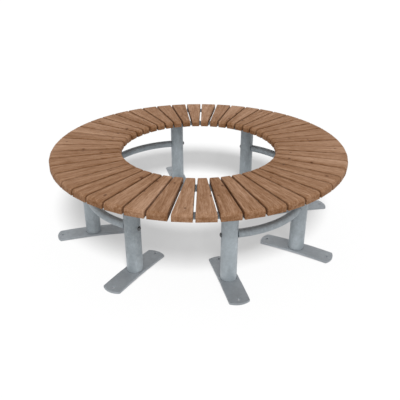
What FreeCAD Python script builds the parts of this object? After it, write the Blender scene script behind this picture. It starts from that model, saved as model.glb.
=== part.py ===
"""Round tree bench in four free-standing quarters, in millimetres.

Each quarter carries twelve tapered hardwood slats on two flat steel ring arcs.
The arcs lie in rebates under the slats and rest on two radial bearers. A bearer
closes the top of each round leg tube, and a long foot plate closes the bottom.
A bent brace tube joins the two legs and is held by one bolt through each leg.

The origin is on the ground at the centre of the tree hole, with +Z up. The
joints between the quarters lie on the X and Y axes. Left and right are those of
someone who sits on a quarter and faces out.
"""
import FreeCAD
import Part

import math
import os

Vector = FreeCAD.Vector
UP = Vector(0, 0, 1)
CENTRE = Vector(0, 0, 0)
TINY = 1e-6

# Seat
SEAT_HEIGHT = 450.0
OUTER_RADIUS = 755.0
INNER_RADIUS = 400.0
QUARTERS = ("a", "b", "c", "d")
SLATS_PER_QUARTER = 12
SLAT_THICKNESS = 35.0
SLAT_GAP = 10.0
JOINT_GAP = 15.0
SLAT_ARRIS = 4.0
SLAT_END_ROUNDING = 15.0

# Ring arcs, let in flush with the undersides of the slats
RING_THICKNESS = 8.0
INNER_RING_WIDTH = 60.0
INNER_RING_INSET = 21.0
OUTER_RING_WIDTH = 50.0
OUTER_RING_INSET = 25.0
RING_END_INSET = 4.0
REBATE_CLEARANCE = 1.0

# Legs
LEG_DIAMETER = 76.1
LEG_WALL = 3.2
SLATS_BEYOND_LEG = 3

# Foot plates
FOOT_LENGTH = 375.0
FOOT_WIDTH = 94.0
FOOT_THICKNESS = 10.0
FOOT_END_RADIUS = 85.0
ANCHOR_HOLE_SPACING = 320.0
ANCHOR_HOLE_DIAMETER = 14.0

# Bearers
BEARER_WIDTH = 80.0
BEARER_THICKNESS = 10.0
BEARER_END_INSET = 4.0
BEARER_CORNER = 15.0

# Brace tubes
BRACE_DIAMETER = 40.0
BRACE_BEND_RADIUS = 450.0
BRACE_HEIGHT = 247.0

# Brace bolts, with low round heads
BOLT_DIAMETER = 12.0
BOLT_HEAD_DIAMETER = 22.0
BOLT_HEAD_HEIGHT = 7.5
BOLT_HEAD_ROUNDING = 4.0
BOLT_HOLE_CLEARANCE = 0.5
BOLT_THREAD_CLEARANCE = 0.1
BOLT_THREAD_DEPTH = 22.0
BOLT_TIP_CLEARANCE = 3.0

# How finely round forms are drawn where a true curve would take many small faces
ROUNDING_STEPS = 3
RING_STEPS = 18
BRACE_STEPS = 5
BORE_SIDES = 12
HEAD_SIDES = 8
SHANK_SIDES = 6

# What follows from the sizes above
QUARTER_ANGLE = 360.0 / len(QUARTERS)
SLAT_PITCH = QUARTER_ANGLE / SLATS_PER_QUARTER
SLAT_BOTTOM = SEAT_HEIGHT - SLAT_THICKNESS
LEG_ANGLES = (SLATS_BEYOND_LEG * SLAT_PITCH, QUARTER_ANGLE - SLATS_BEYOND_LEG * SLAT_PITCH)
LEG_CIRCLE_RADIUS = (INNER_RADIUS + OUTER_RADIUS) / 2
LEG_RADIUS = LEG_DIAMETER / 2
LEG_TOP = SLAT_BOTTOM - BEARER_THICKNESS
INNER_RING = (INNER_RADIUS + INNER_RING_INSET, INNER_RADIUS + INNER_RING_INSET + INNER_RING_WIDTH)
OUTER_RING = (OUTER_RADIUS - OUTER_RING_INSET - OUTER_RING_WIDTH, OUTER_RADIUS - OUTER_RING_INSET)
RINGS = (INNER_RING, OUTER_RING)


def turned(shape, angle):
    """A copy of the shape, turned about the axis of the tree hole."""
    copy = shape.copy()
    copy.rotate(CENTRE, UP, angle)
    return copy


def plate(edges, bottom, thickness):
    """A flat plate: the closed outline of edges at height zero, raised to bottom and thickened."""
    face = Part.Face(Part.Wire(edges))
    solid = face.extrude(UP * thickness)
    solid.translate(UP * bottom)
    return solid


def line(start, end):
    """A straight edge."""
    return Part.LineSegment(start, end).toShape()


def arc(start, middle, end):
    """A round edge through three points."""
    return Part.Arc(start, middle, end).toShape()


def outline(corners):
    """The straight edges that join these corners in a ring."""
    return [line(corners[i - 1], corners[i]) for i in range(len(corners))]


def polar(radius, angle):
    """The point at this radius and angle on the ground."""
    turn = math.radians(angle)
    return Vector(radius * math.cos(turn), radius * math.sin(turn), 0)


def slat_half_width(radius, gap):
    """The width of a slat on one side of its middle, at this distance from the centre.

    The side runs parallel to the middle of the gap beside it, so the gap is equally wide all along.
    """
    half_pitch = math.radians(SLAT_PITCH / 2)
    return radius * math.tan(half_pitch) - gap / 2 / math.cos(half_pitch)


def rebate_corners(ring):
    """The straight cut under a slat that takes one ring, seen from the side of a slat on the X axis."""
    inner, outer = ring
    start = inner * math.cos(math.radians(SLAT_PITCH / 2)) - REBATE_CLEARANCE
    end = outer + REBATE_CLEARANCE
    top = SLAT_BOTTOM + RING_THICKNESS
    return [
        Vector(start, 0, SLAT_BOTTOM),
        Vector(start, 0, top),
        Vector(end, 0, top),
        Vector(end, 0, SLAT_BOTTOM),
    ]


def rounding_corners(end, first_turn):
    """A quarter turn over the top of one end of a slat on the X axis, seen from its side."""
    height = SEAT_HEIGHT - SLAT_END_ROUNDING
    corners = []
    for i in range(ROUNDING_STEPS + 1):
        turn = math.radians(first_turn + 90 * i / ROUNDING_STEPS)
        across = SLAT_END_ROUNDING * math.cos(turn)
        corners.append(Vector(end + across, 0, height + SLAT_END_ROUNDING * math.sin(turn)))
    return corners


def slat_side():
    """A slat on the X axis seen from its side, from the inner end along the underside and back."""
    corners = [Vector(INNER_RADIUS, 0, SLAT_BOTTOM)]
    for ring in RINGS:
        corners += rebate_corners(ring)
    corners.append(Vector(OUTER_RADIUS, 0, SLAT_BOTTOM))
    corners += rounding_corners(OUTER_RADIUS - SLAT_END_ROUNDING, 0)
    return corners + rounding_corners(INNER_RADIUS + SLAT_END_ROUNDING, 90)


def make_slat(right_gap, left_gap):
    """One slat on the X axis: a tapered board with its long top arrises broken, cut to the side view."""
    plan = [
        Vector(INNER_RADIUS, -slat_half_width(INNER_RADIUS, right_gap), 0),
        Vector(OUTER_RADIUS, -slat_half_width(OUTER_RADIUS, right_gap), 0),
        Vector(OUTER_RADIUS, slat_half_width(OUTER_RADIUS, left_gap), 0),
        Vector(INNER_RADIUS, slat_half_width(INNER_RADIUS, left_gap), 0),
    ]
    board = plate(outline(plan), SLAT_BOTTOM, SLAT_THICKNESS)
    top_edges = [edge for edge in board.Edges if edge.BoundBox.ZMin > SEAT_HEIGHT - SLAT_ARRIS]
    long_edges = [edge for edge in top_edges if edge.BoundBox.XLength > SLAT_ARRIS]
    board = board.makeChamfer(SLAT_ARRIS, long_edges)
    reach = slat_half_width(OUTER_RADIUS, 0)
    side = Part.Face(Part.Wire(outline(slat_side()))).extrude(Vector(0, 2 * reach, 0))
    side.translate(Vector(0, -reach, 0))
    return board.common(side)


def ring_edge(radius):
    """The corners along one edge of a ring arc, whose ends keep their distance from the two joints."""
    setback = JOINT_GAP / 2 + RING_END_INSET
    start = math.degrees(math.asin(setback / radius))
    step = (QUARTER_ANGLE - 2 * start) / RING_STEPS
    return [polar(radius, start + i * step) for i in range(RING_STEPS + 1)]


def make_ring_arc(ring):
    """One flat ring arc in the first quarter, cut parallel to the joints at both ends."""
    inner, outer = ring
    corners = ring_edge(outer) + ring_edge(inner)[::-1]
    return plate(outline(corners), SLAT_BOTTOM, RING_THICKNESS)


def make_bearer():
    """The radial flat bar on top of a leg, on the X axis, with clipped corners."""
    start = INNER_RING[0] + BEARER_END_INSET
    end = OUTER_RING[1] - BEARER_END_INSET
    half = BEARER_WIDTH / 2
    corners = [
        Vector(start, half - BEARER_CORNER, 0),
        Vector(start, BEARER_CORNER - half, 0),
        Vector(start + BEARER_CORNER, -half, 0),
        Vector(end - BEARER_CORNER, -half, 0),
        Vector(end, BEARER_CORNER - half, 0),
        Vector(end, half - BEARER_CORNER, 0),
        Vector(end - BEARER_CORNER, half, 0),
        Vector(start + BEARER_CORNER, half, 0),
    ]
    return plate(outline(corners), LEG_TOP, BEARER_THICKNESS)


def make_foot_plate():
    """The radial foot plate under a leg, on the X axis, with round ends and two anchor holes."""
    half_width = FOOT_WIDTH / 2
    half_length = FOOT_LENGTH / 2
    end_rise = FOOT_END_RADIUS - math.sqrt(FOOT_END_RADIUS**2 - half_width**2)
    shoulder = half_length - end_rise
    edges = [
        line(Vector(-shoulder, -half_width, 0), Vector(shoulder, -half_width, 0)),
        arc(Vector(shoulder, -half_width, 0), Vector(half_length, 0, 0), Vector(shoulder, half_width, 0)),
        line(Vector(shoulder, half_width, 0), Vector(-shoulder, half_width, 0)),
        arc(Vector(-shoulder, half_width, 0), Vector(-half_length, 0, 0), Vector(-shoulder, -half_width, 0)),
    ]
    foot = plate(edges, 0, FOOT_THICKNESS)
    for side in (-1, 1):
        place = Vector(side * ANCHOR_HOLE_SPACING / 2, 0, 0)
        foot = foot.cut(Part.makeCylinder(ANCHOR_HOLE_DIAMETER / 2, FOOT_THICKNESS, place, UP))
    foot.translate(Vector(LEG_CIRCLE_RADIUS, 0, 0))
    return foot


def leg_axis(side):
    """Where a leg of the first quarter stands: side is -1 for the right leg and 1 for the left one."""
    return polar(LEG_CIRCLE_RADIUS, LEG_ANGLES[0] if side < 0 else LEG_ANGLES[1])


def brace_half_turn():
    """Half the angle that the brace turns through, in degrees.

    The bend meets the tangent plane of each leg squarely, on the line through the leg's axis. Half the
    distance between the legs is then bend radius x sin(half turn) + leg radius x cos(half turn).
    """
    half_span = (leg_axis(1) - leg_axis(-1)).Length / 2
    reach = math.hypot(BRACE_BEND_RADIUS, LEG_RADIUS)
    return math.degrees(math.asin(half_span / reach) - math.atan2(LEG_RADIUS, BRACE_BEND_RADIUS))


def bolt_direction(side):
    """The way a brace bolt points, from the outside of its leg into the brace."""
    across = (leg_axis(-side) - leg_axis(side)).normalize()
    return FreeCAD.Rotation(UP, side * brace_half_turn()).multVec(across)


def polygon(across_flats, sides, centre, direction):
    """A regular outline square to direction. Its first corner points up, or along X if direction is up."""
    corner = across_flats / 2 / math.cos(math.pi / sides)
    first = Vector(1, 0, 0) if direction.isEqual(UP, TINY) else UP
    second = direction.cross(first)
    points = []
    for i in range(sides + 1):
        turn = 2 * math.pi * i / sides
        points.append(centre + first * (corner * math.cos(turn)) + second * (corner * math.sin(turn)))
    return Part.makePolygon(points)


def prism(across_flats, sides, start, direction, length):
    """A straight bar of regular section, from start along direction."""
    return Part.Face(polygon(across_flats, sides, start, direction)).extrude(direction * length)


def bolt_centre(side):
    """The point where a brace bolt crosses the axis of its leg."""
    return leg_axis(side) + UP * BRACE_HEIGHT


def make_leg_tube(side):
    """One leg in the first quarter: a round tube from foot plate to bearer, drilled for its bolt."""
    base = leg_axis(side) + UP * FOOT_THICKNESS
    height = LEG_TOP - FOOT_THICKNESS
    direction = bolt_direction(side)
    bolt_hole = BOLT_DIAMETER + 2 * BOLT_HOLE_CLEARANCE
    tube = Part.makeCylinder(LEG_RADIUS, height, base, UP)
    tube = tube.cut(prism(LEG_DIAMETER - 2 * LEG_WALL, BORE_SIDES, base, UP, height))
    drill_start = bolt_centre(side) - direction * LEG_DIAMETER
    return tube.cut(prism(bolt_hole, SHANK_SIDES, drill_start, direction, 2 * LEG_DIAMETER))


def brace_end(side, rim):
    """The faces that close one end of the brace: the end itself, and the threaded hole in it."""
    direction = bolt_direction(side)
    mouth = bolt_centre(side) + direction * LEG_RADIUS
    width = BOLT_DIAMETER + 2 * BOLT_THREAD_CLEARANCE
    hole = prism(width, SHANK_SIDES, mouth, direction, BOLT_THREAD_DEPTH)
    edge = polygon(width, SHANK_SIDES, mouth, direction)
    edge.reverse()
    end = Part.Face([rim, edge])
    end.validate()
    walls = [face for face in hole.Faces if (face.CenterOfMass - mouth).Length > TINY]
    return [end] + walls


def make_brace_tube():
    """The bent brace of the first quarter, a loft through circles along the bend, closed at both ends."""
    middle = QUARTER_ANGLE / 2
    half_turn = brace_half_turn()
    mouth = leg_axis(-1) + bolt_direction(-1) * LEG_RADIUS
    bend_centre = mouth.dot(polar(1, middle)) - BRACE_BEND_RADIUS * math.cos(math.radians(half_turn))
    place = polar(bend_centre, middle) + UP * BRACE_HEIGHT
    circle = Part.makeCircle(BRACE_DIAMETER / 2, place + Vector(BRACE_BEND_RADIUS, 0, 0), Vector(0, 1, 0))
    rims = []
    for i in range(BRACE_STEPS + 1):
        rim = Part.Wire(circle)
        rim.rotate(place, UP, middle + half_turn * (2 * i / BRACE_STEPS - 1))
        rims.append(rim)
    faces = Part.makeLoft(rims, False, True).Faces
    faces += brace_end(-1, rims[0]) + brace_end(1, rims[-1])
    skin = Part.Shell(faces)
    skin.sewShape()
    return Part.Solid(skin)


def make_brace_bolt(side):
    """A round-headed bolt: the head seats on the leg opposite the brace, the tip ends in the brace."""
    direction = bolt_direction(side)
    seat = bolt_centre(side) - direction * LEG_RADIUS
    crown = seat - direction * BOLT_HEAD_HEIGHT
    head = prism(BOLT_HEAD_DIAMETER, HEAD_SIDES, crown, direction, BOLT_HEAD_HEIGHT)
    crown_edges = [edge for edge in head.Edges if abs((edge.CenterOfMass - crown).dot(direction)) < TINY]
    head = head.makeChamfer(BOLT_HEAD_ROUNDING, crown_edges)
    length = LEG_DIAMETER + BOLT_THREAD_DEPTH - BOLT_TIP_CLEARANCE
    return head.fuse(prism(BOLT_DIAMETER, SHANK_SIDES, seat, direction, length))


def slat_group(first, last):
    """The slats from first up to, not including, last, counted from the right end of the first quarter."""
    gaps = [JOINT_GAP] + [SLAT_GAP] * (SLATS_PER_QUARTER - 1) + [JOINT_GAP]
    return [turned(make_slat(gaps[i], gaps[i + 1]), (i + 0.5) * SLAT_PITCH) for i in range(first, last)]


def quarter_parts():
    """Every node of the first quarter: its name after the quarter's letter, and its solids."""
    inside = SLATS_PER_QUARTER - SLATS_BEYOND_LEG
    right, left = LEG_ANGLES
    return {
        "slats_right_end": slat_group(0, SLATS_BEYOND_LEG),
        "slats_between_legs": slat_group(SLATS_BEYOND_LEG, inside),
        "slats_left_end": slat_group(inside, SLATS_PER_QUARTER),
        "inner_ring_arc": [make_ring_arc(INNER_RING)],
        "outer_ring_arc": [make_ring_arc(OUTER_RING)],
        "right_bearer": [turned(make_bearer(), right)],
        "left_bearer": [turned(make_bearer(), left)],
        "right_leg_tube": [make_leg_tube(-1)],
        "left_leg_tube": [make_leg_tube(1)],
        "right_foot_plate": [turned(make_foot_plate(), right)],
        "left_foot_plate": [turned(make_foot_plate(), left)],
        "brace_tube": [make_brace_tube()],
        "brace_bolts": [make_brace_bolt(-1), make_brace_bolt(1)],
    }


def save(name, solids):
    """Write one node."""
    shape = solids[0] if len(solids) == 1 else Part.makeCompound(solids)
    shape.exportStep(os.path.join("parts", name + ".step"))


def main():
    """Repeat the first quarter round the tree hole and write every node."""
    os.makedirs("parts", exist_ok=True)
    nodes = quarter_parts()
    for position, letter in enumerate(QUARTERS):
        for name, solids in nodes.items():
            save(f"quarter_{letter}_{name}", [turned(solid, position * QUARTER_ANGLE) for solid in solids])


main()
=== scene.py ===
"""The looks of a circular tree bench: tapered hardwood slats on galvanised frames, in four quarters.

Everything is in metres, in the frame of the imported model: the origin is on the ground at the centre of
the tree hole, +Z is up, and the joints between the quarters lie on the X and Y axes.
"""
from __future__ import annotations

import logging
import math
from collections.abc import Callable
from dataclasses import dataclass, field
from enum import Enum

import bpy
import numpy as np
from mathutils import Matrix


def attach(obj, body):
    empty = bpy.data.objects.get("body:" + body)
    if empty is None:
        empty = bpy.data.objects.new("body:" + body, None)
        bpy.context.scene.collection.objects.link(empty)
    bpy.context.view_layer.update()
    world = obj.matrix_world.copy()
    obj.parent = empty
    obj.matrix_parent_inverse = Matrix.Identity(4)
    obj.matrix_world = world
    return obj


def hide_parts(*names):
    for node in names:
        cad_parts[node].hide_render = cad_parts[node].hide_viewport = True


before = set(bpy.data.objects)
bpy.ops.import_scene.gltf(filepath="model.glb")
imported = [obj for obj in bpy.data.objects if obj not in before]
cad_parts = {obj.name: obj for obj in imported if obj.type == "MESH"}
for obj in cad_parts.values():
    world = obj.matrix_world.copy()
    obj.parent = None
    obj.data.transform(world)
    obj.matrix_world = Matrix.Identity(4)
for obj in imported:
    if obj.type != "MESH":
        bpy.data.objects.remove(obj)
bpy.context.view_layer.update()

LOG = logging.getLogger("tree_bench")
BODY = "root"
QUARTERS = "abcd"
QUARTER_TURN = math.pi / 2
UP = np.array([0.0, 0.0, 1.0])
WHITE = (1.0, 1.0, 1.0, 1.0)
SEED = 20
CREASE = math.radians(32.0)
FIRST_TURN = math.radians(12.0)

Array = np.ndarray
Socket = bpy.types.NodeSocket
Material = bpy.types.Material
Value = Socket | float | tuple


class Side(Enum):
    """The two legs of a quarter, as someone sees them who sits on it and faces out."""

    RIGHT = -1
    LEFT = 1

    @property
    def word(self) -> str:
        """The side as a word in a name."""
        return self.name.lower()


class Slot(Enum):
    """The material slots of the record."""

    TIMBER = "timber"
    FLAT_BAR = "galvanised_flat_bar"
    TUBE = "galvanised_tube"
    FOOT = "galvanised_foot_plate"
    BOLT = "dark_bolt"


@dataclass(frozen=True)
class BenchSizes:
    """The sizes that more than one sub-assembly needs."""

    seat_height: float = 0.450
    inner_radius: float = 0.400
    outer_radius: float = 0.755
    slat_thickness: float = 0.035
    slat_gap: float = 0.010
    joint_gap: float = 0.014
    slats_per_quarter: int = 12
    slats_beyond_leg: int = 3
    ring_thickness: float = 0.008
    inner_ring: tuple[float, float] = (0.421, 0.481)
    outer_ring: tuple[float, float] = (0.680, 0.730)
    bearer_thickness: float = 0.010
    foot_thickness: float = 0.010
    leg_radius: float = 0.03805

    @property
    def slat_bottom(self) -> float:
        """Height of the undersides of the slats and the ring arcs."""
        return self.seat_height - self.slat_thickness

    @property
    def leg_top(self) -> float:
        """Height at which a leg tube meets its bearer."""
        return self.slat_bottom - self.bearer_thickness

    @property
    def leg_circle(self) -> float:
        """Radius of the circle on which the legs stand, midway under the slats."""
        return (self.inner_radius + self.outer_radius) / 2

    @property
    def slat_pitch(self) -> float:
        """Angle from one slat to the next."""
        return QUARTER_TURN / self.slats_per_quarter

    def leg_angle(self, side: Side) -> float:
        """Angle from the +X axis at which a leg stands in the first quarter."""
        return QUARTER_TURN / 2 + side.value * (QUARTER_TURN / 2 - self.slats_beyond_leg * self.slat_pitch)


SIZES = BenchSizes()


@dataclass(frozen=True)
class Skin:
    """A closed skin: its points and the loops of point numbers round its faces."""

    points: Array
    loops: list[list[int]]

    @staticmethod
    def over_rings(grid: Array, endless: bool = False) -> Skin:
        """Joins rings of points, each ring to the next, as a hose is made of hoops.

        Args:
            grid: rings x points per ring x 3. Every ring closes on itself.
            endless: True joins the last ring to the first, False closes both ends with a flat face.

        Returns:
            The skin, with its faces outwards.
        """
        number = np.arange(grid.shape[0] * grid.shape[1]).reshape(grid.shape[:2])
        beside = np.roll(number, -1, axis=1)
        following = [np.roll(corner, -1, axis=0) for corner in (beside, number)]
        quads = np.stack([number, beside, *following], axis=-1)
        loops = (quads if endless else quads[:-1]).reshape(-1, 4).tolist()
        if not endless:
            loops += [number[0, ::-1].tolist(), number[-1].tolist()]
        return Skin(grid.reshape(-1, 3), loops).outward()

    @staticmethod
    def joined(skins: list[Skin]) -> Skin:
        """Puts several skins in one, without welding them.

        Args:
            skins: the separate skins.

        Returns:
            One skin that holds them all.
        """
        starts = np.cumsum([0] + [len(skin.points) for skin in skins])
        loops = [[i + int(start) for i in loop] for skin, start in zip(skins, starts) for loop in skin.loops]
        return Skin(np.vstack([skin.points for skin in skins]), loops)

    def outward(self) -> Skin:
        """Turns the faces round if the volume that they enclose comes out negative.

        Returns:
            The skin with its faces outwards.
        """
        corners = [(loop[0], *pair) for loop in self.loops for pair in zip(loop[1:], loop[2:])]
        a, b, c = self.points[np.array(corners)].transpose(1, 0, 2)
        if np.einsum("ij,ij->", a, np.cross(b, c)) >= 0:
            return self
        return Skin(self.points, [loop[::-1] for loop in self.loops])

    def turned(self, angle: float) -> Skin:
        """The skin, turned this far about the axis of the tree hole."""
        c, s = math.cos(angle), math.sin(angle)
        return Skin(self.points @ np.array([[c, s, 0.0], [-s, c, 0.0], [0.0, 0.0, 1.0]]), self.loops)


def polar(radius: float, angle: float, height: float = 0.0) -> Array:
    """The point at this radius and angle about the tree hole, at this height."""
    return np.array([radius * math.cos(angle), radius * math.sin(angle), height])


def quarter_round(steps: int) -> Array:
    """Even angles from 0 to a right angle, with both ends."""
    return np.linspace(0.0, math.pi / 2, steps + 1)


def whole_round(steps: int) -> Array:
    """Even angles all the way round, without the last."""
    return np.arange(steps) * 2 * math.pi / steps


def circle(turn: Array, radius: float | Array = 1.0) -> Array:
    """The points of a circle at these angles: radius x (cosine, sine)."""
    return np.column_stack([radius * np.cos(turn), radius * np.sin(turn)])


def bar_outline(left: float, right: float, low: float, high: float, edge: float, share: float) -> Array:
    """The outline of a flat bar: a rectangle whose corners are quarter circles.

    A point on each straight stretch next to a corner keeps the flats flat when the light is smoothed over
    the corners. Where the bar's end turns over, the outline is drawn in.

    Args:
        left, right, low, high: the sides of the bar.
        edge: radius of its edges.
        share: how far its end has turned over here, 0 to 1.

    Returns:
        Points x 2, counterclockwise from the right low corner.
    """
    margin, shrink = 0.0005, 0.8
    inset, radius = edge * share, edge * (1 - shrink * share)
    near, far = left + inset + radius, right - inset - radius
    foot, head = low + inset + radius, high - inset - radius
    pieces = []
    for quarter, (x, y) in enumerate(((far, foot), (far, head), (near, head), (near, foot))):
        start = (quarter - 1) * math.pi / 2
        bend = circle(quarter_round(2) + start, radius) + (x, y)
        c, s = margin * math.cos(start), margin * math.sin(start)
        pieces.append(np.vstack([bend[0] - [-s, c], bend, bend[-1] + [-c, -s]]))
    return np.vstack(pieces)


def revolved(profile: Array, foot: Array, axis: Array, segments: int, endless: bool = False) -> Skin:
    """Spins a profile about an axis: foot + axis x height + radius x (cosine, sine) in the plane across it.

    Args:
        profile: points x 2, the radius and the height along the axis.
        foot: where the axis starts.
        axis: its direction, of length one.
        segments: steps round the axis.
        endless: True if the profile closes on itself, False if flat faces close its ends.

    Returns:
        The skin.
    """
    first = np.cross(axis, np.array([1.0, 0.0, 0.0]) if abs(axis[2]) > 0.5 else UP)
    first /= np.linalg.norm(first)
    second = np.cross(axis, first)
    around = circle(whole_round(segments)) @ np.stack([first, second])
    radius, height = profile[:, None, 0:1], profile[:, None, 1:2]
    return Skin.over_rings(foot + height * axis + radius * around, endless)


def swept(ends: tuple[float, float], between: Array, rounding: float, steps: int,
          outline_at: Callable[[float, float], Array],
          place: Callable[[float, Array], Array]) -> Skin:
    """Carries an outline along a path and turns its edge over at both ends.

    Towards an end the distance left is rounding x (1 - cosine), and the share turned over is 1 - sine, of an
    angle that runs from near 0 to a right angle.

    Args:
        ends: the distances of the two ends along the path.
        between: those of the stations between the rounded ends.
        rounding: length of a rounded end.
        steps: stations in a rounded end.
        outline_at: function of (distance, share) that gives an outline, points x 2.
        place: function of (distance, outline) that puts it in space, points x 3.

    Returns:
        The skin, closed by a flat face at each end.
    """
    turn = np.linspace(FIRST_TURN, math.pi / 2, steps + 1)
    left, share = rounding * (1 - np.cos(turn)), 1 - np.sin(turn)
    along = np.concatenate([ends[0] + left, between, ends[1] - left[::-1]])
    shares = np.concatenate([share, np.zeros(len(between)), share[::-1]])
    return Skin.over_rings(np.stack([place(a, outline_at(a, s)) for a, s in zip(along, shares)]))


class Shader:
    """A small helper that adds nodes to a tree and joins them."""

    def __init__(self, tree: bpy.types.NodeTree) -> None:
        """Keeps the tree that nodes are added to."""
        self.tree = tree

    def feed(self, socket: Socket, value: Value) -> None:
        """Joins a socket to an input, or sets the input to a value.

        Args:
            socket: the input.
            value: what goes in.
        """
        if isinstance(value, Socket):
            self.tree.links.new(value, socket)
        else:
            socket.default_value = value

    def node(self, kind: str, settings: dict[str, object] | None = None, *values: Value,
             **named: Value) -> bpy.types.Node:
        """Adds a node.

        Args:
            kind: its type name, without ShaderNode.
            settings: attributes of the node itself.
            values: what goes into its first inputs, in order.
            named: what goes into other inputs, by name with _ for a space.

        Returns:
            The node.
        """
        node = self.tree.nodes.new("ShaderNode" + kind)
        for name, value in (settings or {}).items():
            setattr(node, name, value)
        for socket, value in zip(node.inputs, values):
            self.feed(socket, value)
        for name, value in named.items():
            self.feed(node.inputs[name.replace("_", " ")], value)
        return node

    def attribute(self, name: str, output: str = "Fac") -> Socket:
        """What a point attribute holds, as the number Fac or as the Vector."""
        return self.node("Attribute", {"attribute_name": name}).outputs[output]

    def math(self, operation: str, *values: Value, clamp: bool = False) -> Socket:
        """The result of a Math node, kept from 0 to 1 if it is clamped."""
        return self.node("Math", {"operation": operation, "use_clamp": clamp}, *values).outputs[0]

    def added(self, base: Value, part: Value, factor: float = 1.0) -> Socket:
        """A number plus so many times another."""
        return self.math("MULTIPLY_ADD", part, factor, base)

    def vector(self, operation: str, *values: Value) -> Socket:
        """The vector that a Vector Math node gives, or its length."""
        node = self.node("VectorMath", {"operation": operation}, *values)
        return node.outputs["Value" if operation == "LENGTH" else "Vector"]

    def scaled(self, vector: Value, factor: Value) -> Socket:
        """A vector or a colour times a number."""
        return self.node("VectorMath", {"operation": "SCALE"}, Vector=vector, Scale=factor).outputs["Vector"]

    def noise(self, place: Value, scale: Value, detail: float = 2.0, roughness: float = 0.5) -> Socket:
        """A Noise texture of so many waves a metre and so many octaves, about 0 to 1."""
        node = self.node("TexNoise", Vector=place, Scale=scale, Detail=detail, Roughness=roughness)
        return node.outputs["Fac"]

    def remap(self, value: Value, low: float, high: float, to_low: float = 0.0,
              to_high: float = 1.0) -> Socket:
        """A clamped Map Range node from one range to another, smooth at both ends."""
        values = {"Value": value, "From_Min": low, "From_Max": high, "To_Min": to_low, "To_Max": to_high}
        return self.node("MapRange", {"interpolation_type": "SMOOTHSTEP"}, **values).outputs["Result"]

    def mix(self, share: Value, first: Value, second: Value) -> Socket:
        """Mixes two colours.

        Args:
            share: how much of the second, 0 to 1.
            first, second: the colours.

        Returns:
            The mixed colour.
        """
        node = self.node("Mix", {"data_type": "RGBA"}, share)
        self.feed(node.inputs[6], first)
        self.feed(node.inputs[7], second)
        return node.outputs[2]

    def dress(self, surface: bpy.types.Node, colour: Value, roughness: Value, **bump: Value) -> None:
        """Gives a Principled node its looks.

        Args:
            surface: the node.
            colour, roughness: what goes into Base Color and Roughness.
            bump: the Strength, Distance and Height of its bump.
        """
        normal = self.node("Bump", **bump).outputs["Normal"]
        for name, value in (("Base Color", colour), ("Roughness", roughness), ("Normal", normal)):
            self.feed(surface.inputs[name], value)


def srgb(red: int, green: int, blue: int) -> tuple[float, float, float, float]:
    """A colour written as it looks on a screen, 0 to 255, as the light that it reflects."""
    parts = [c / 255 for c in (red, green, blue)]
    return (*(c / 12.92 if c <= 0.04045 else ((c + 0.055) / 1.055) ** 2.4 for c in parts), 1.0)


def new_group(name: str, **numbers: float) -> tuple[Shader, bpy.types.NodeOutputs]:
    """Starts a shader node group that reads a Vector and some numbers.

    Args:
        name: the group's name.
        numbers: its number inputs, with the value of each.

    Returns:
        The helper for its tree, and its inputs.
    """
    tree = bpy.data.node_groups.new(name, "ShaderNodeTree")
    tree.interface.new_socket("Vector", in_out="INPUT", socket_type="NodeSocketVector")
    for title, value in numbers.items():
        tree.interface.new_socket(title, in_out="INPUT", socket_type="NodeSocketFloat").default_value = value
    return Shader(tree), tree.nodes.new("NodeGroupInput").outputs


def finish_group(shader: Shader, **numbers: Socket) -> bpy.types.NodeTree:
    """Gives a shader node group its outputs.

    Args:
        shader: the helper for its tree.
        numbers: what it puts out, by name.

    Returns:
        The group.
    """
    for title in numbers:
        shader.tree.interface.new_socket(title, in_out="OUTPUT", socket_type="NodeSocketFloat")
    leave = shader.tree.nodes.new("NodeGroupOutput").inputs
    for title, number in numbers.items():
        shader.feed(leave[title], number)
    return shader.tree


def grain_group() -> bpy.types.NodeTree:
    """Hardwood figure in a board's own coordinates: X along the board, Y across it and Z through it.

    The growth rings are cylinders about a pith line that lies beside the board, pushed aside by knots.
    Fibres, soft streaks and pores are noises drawn out along X, and the mottling is a rounder noise.

    Returns:
        The group. It puts out streaks, mottling, rings and fibres from 0 to 1, a mask of the pores, and a
        height.
    """
    shader, ins = new_group("hardwood_figure", Knot=0.0)

    def drawn_out(along: float, across: float, detail: float, roughness: float = 0.5) -> Socket:
        """A noise of so many waves a metre along and across the board."""
        stretch = shader.vector("MULTIPLY", ins["Vector"], (along, across, across))
        return shader.noise(stretch, 1.0, detail, roughness)

    from_pith = shader.vector("MULTIPLY_ADD", ins["Vector"], (0.0, 1.0, 1.0), (0.0, 0.055, 0.09))
    warped = shader.added(shader.vector("LENGTH", from_pith), drawn_out(5.0, 22.0, 2.0), 0.02)
    warped = shader.added(warped, ins["Knot"], 0.006)
    rings = shader.added(0.5, shader.math("SINE", shader.math("MULTIPLY", warped, 1150.0)), 0.5)
    fibres = drawn_out(9.0, 420.0, 3.0, 0.6)
    pores = shader.remap(drawn_out(70.0, 1500.0, 1.0), 0.62, 0.72)
    return finish_group(
        shader,
        Streaks=drawn_out(3.2, 48.0, 3.0, 0.55),
        Mottling=drawn_out(26.0, 135.0, 4.0, 0.72),
        Rings=rings,
        Fibres=fibres,
        Pores=pores,
        Height=shader.added(shader.added(fibres, rings, 0.35), pores, -0.8),
    )


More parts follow.
